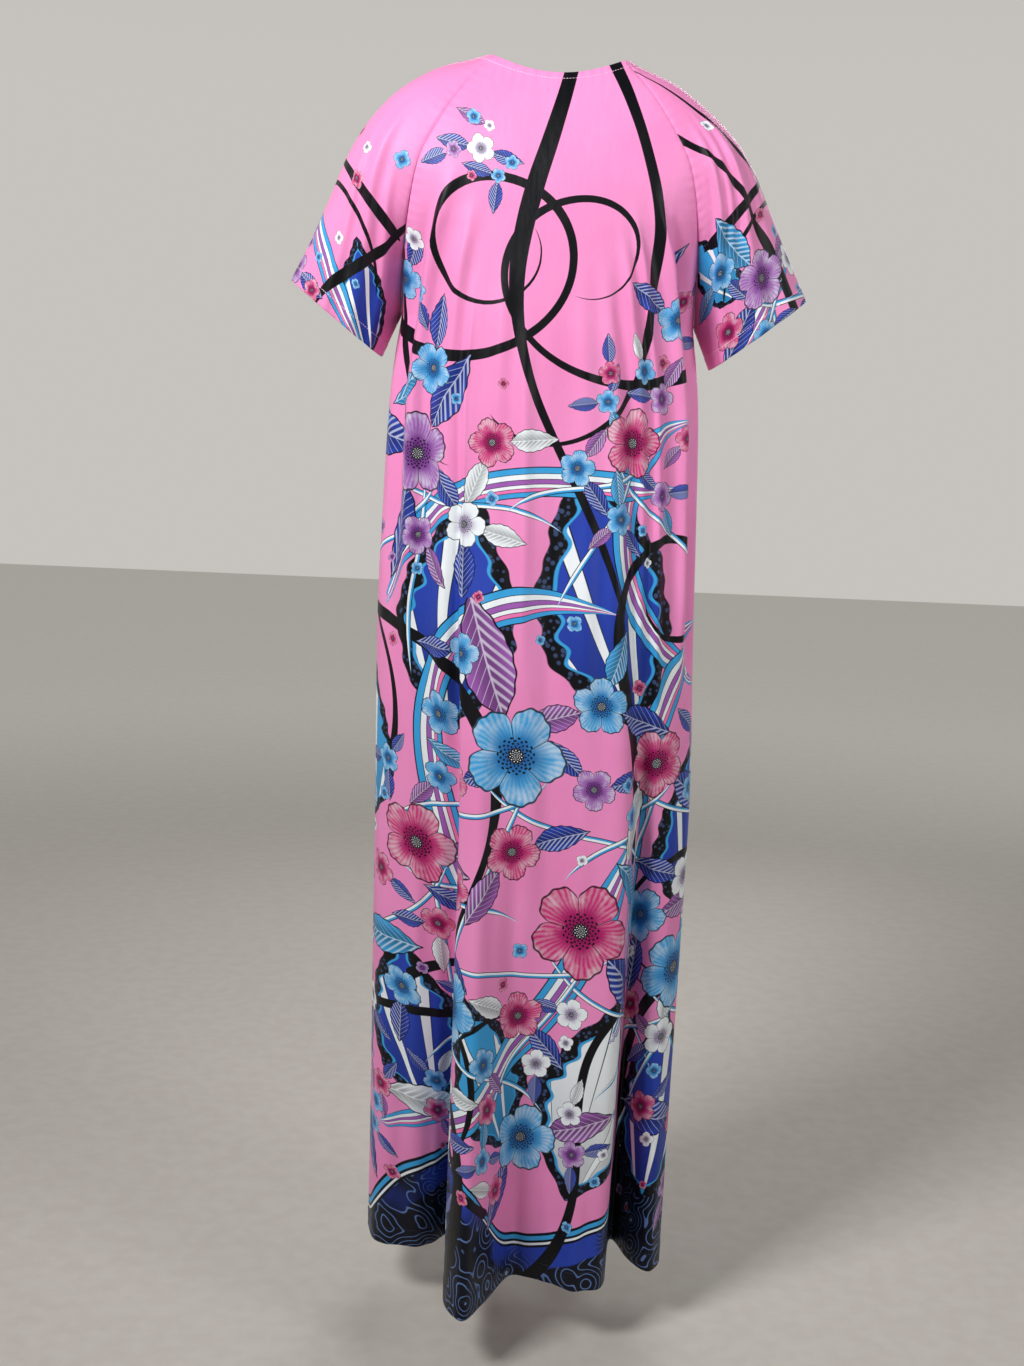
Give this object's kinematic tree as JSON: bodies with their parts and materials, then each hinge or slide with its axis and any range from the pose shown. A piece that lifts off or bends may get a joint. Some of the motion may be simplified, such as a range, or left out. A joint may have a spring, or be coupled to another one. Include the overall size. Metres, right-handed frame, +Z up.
{
  "type": "kaftan",
  "caption": "Floor-length pull-on kaftan in printed knit: round neck, short raglan sleeves, straight loose body and a flared skirt falling in deep folds, held in its worn shape.",
  "frame": {"origin": "midway between the two neck points at the shoulders, where the wearer holds the garment up", "axes": "+X to the wearer's right, +Y to the wearer's front, +Z up; the hem is at z = -1.355 m"},
  "size_m": [0.5618, 0.3349, 1.3562],
  "materials": {
    "printed_knit": "satin"
  },
  "bodies": {
    "root": {"back": "printed_knit", "front": "printed_knit", "sleeve_left": "printed_knit", "sleeve_right": "printed_knit"}
  },
  "joints": []
}
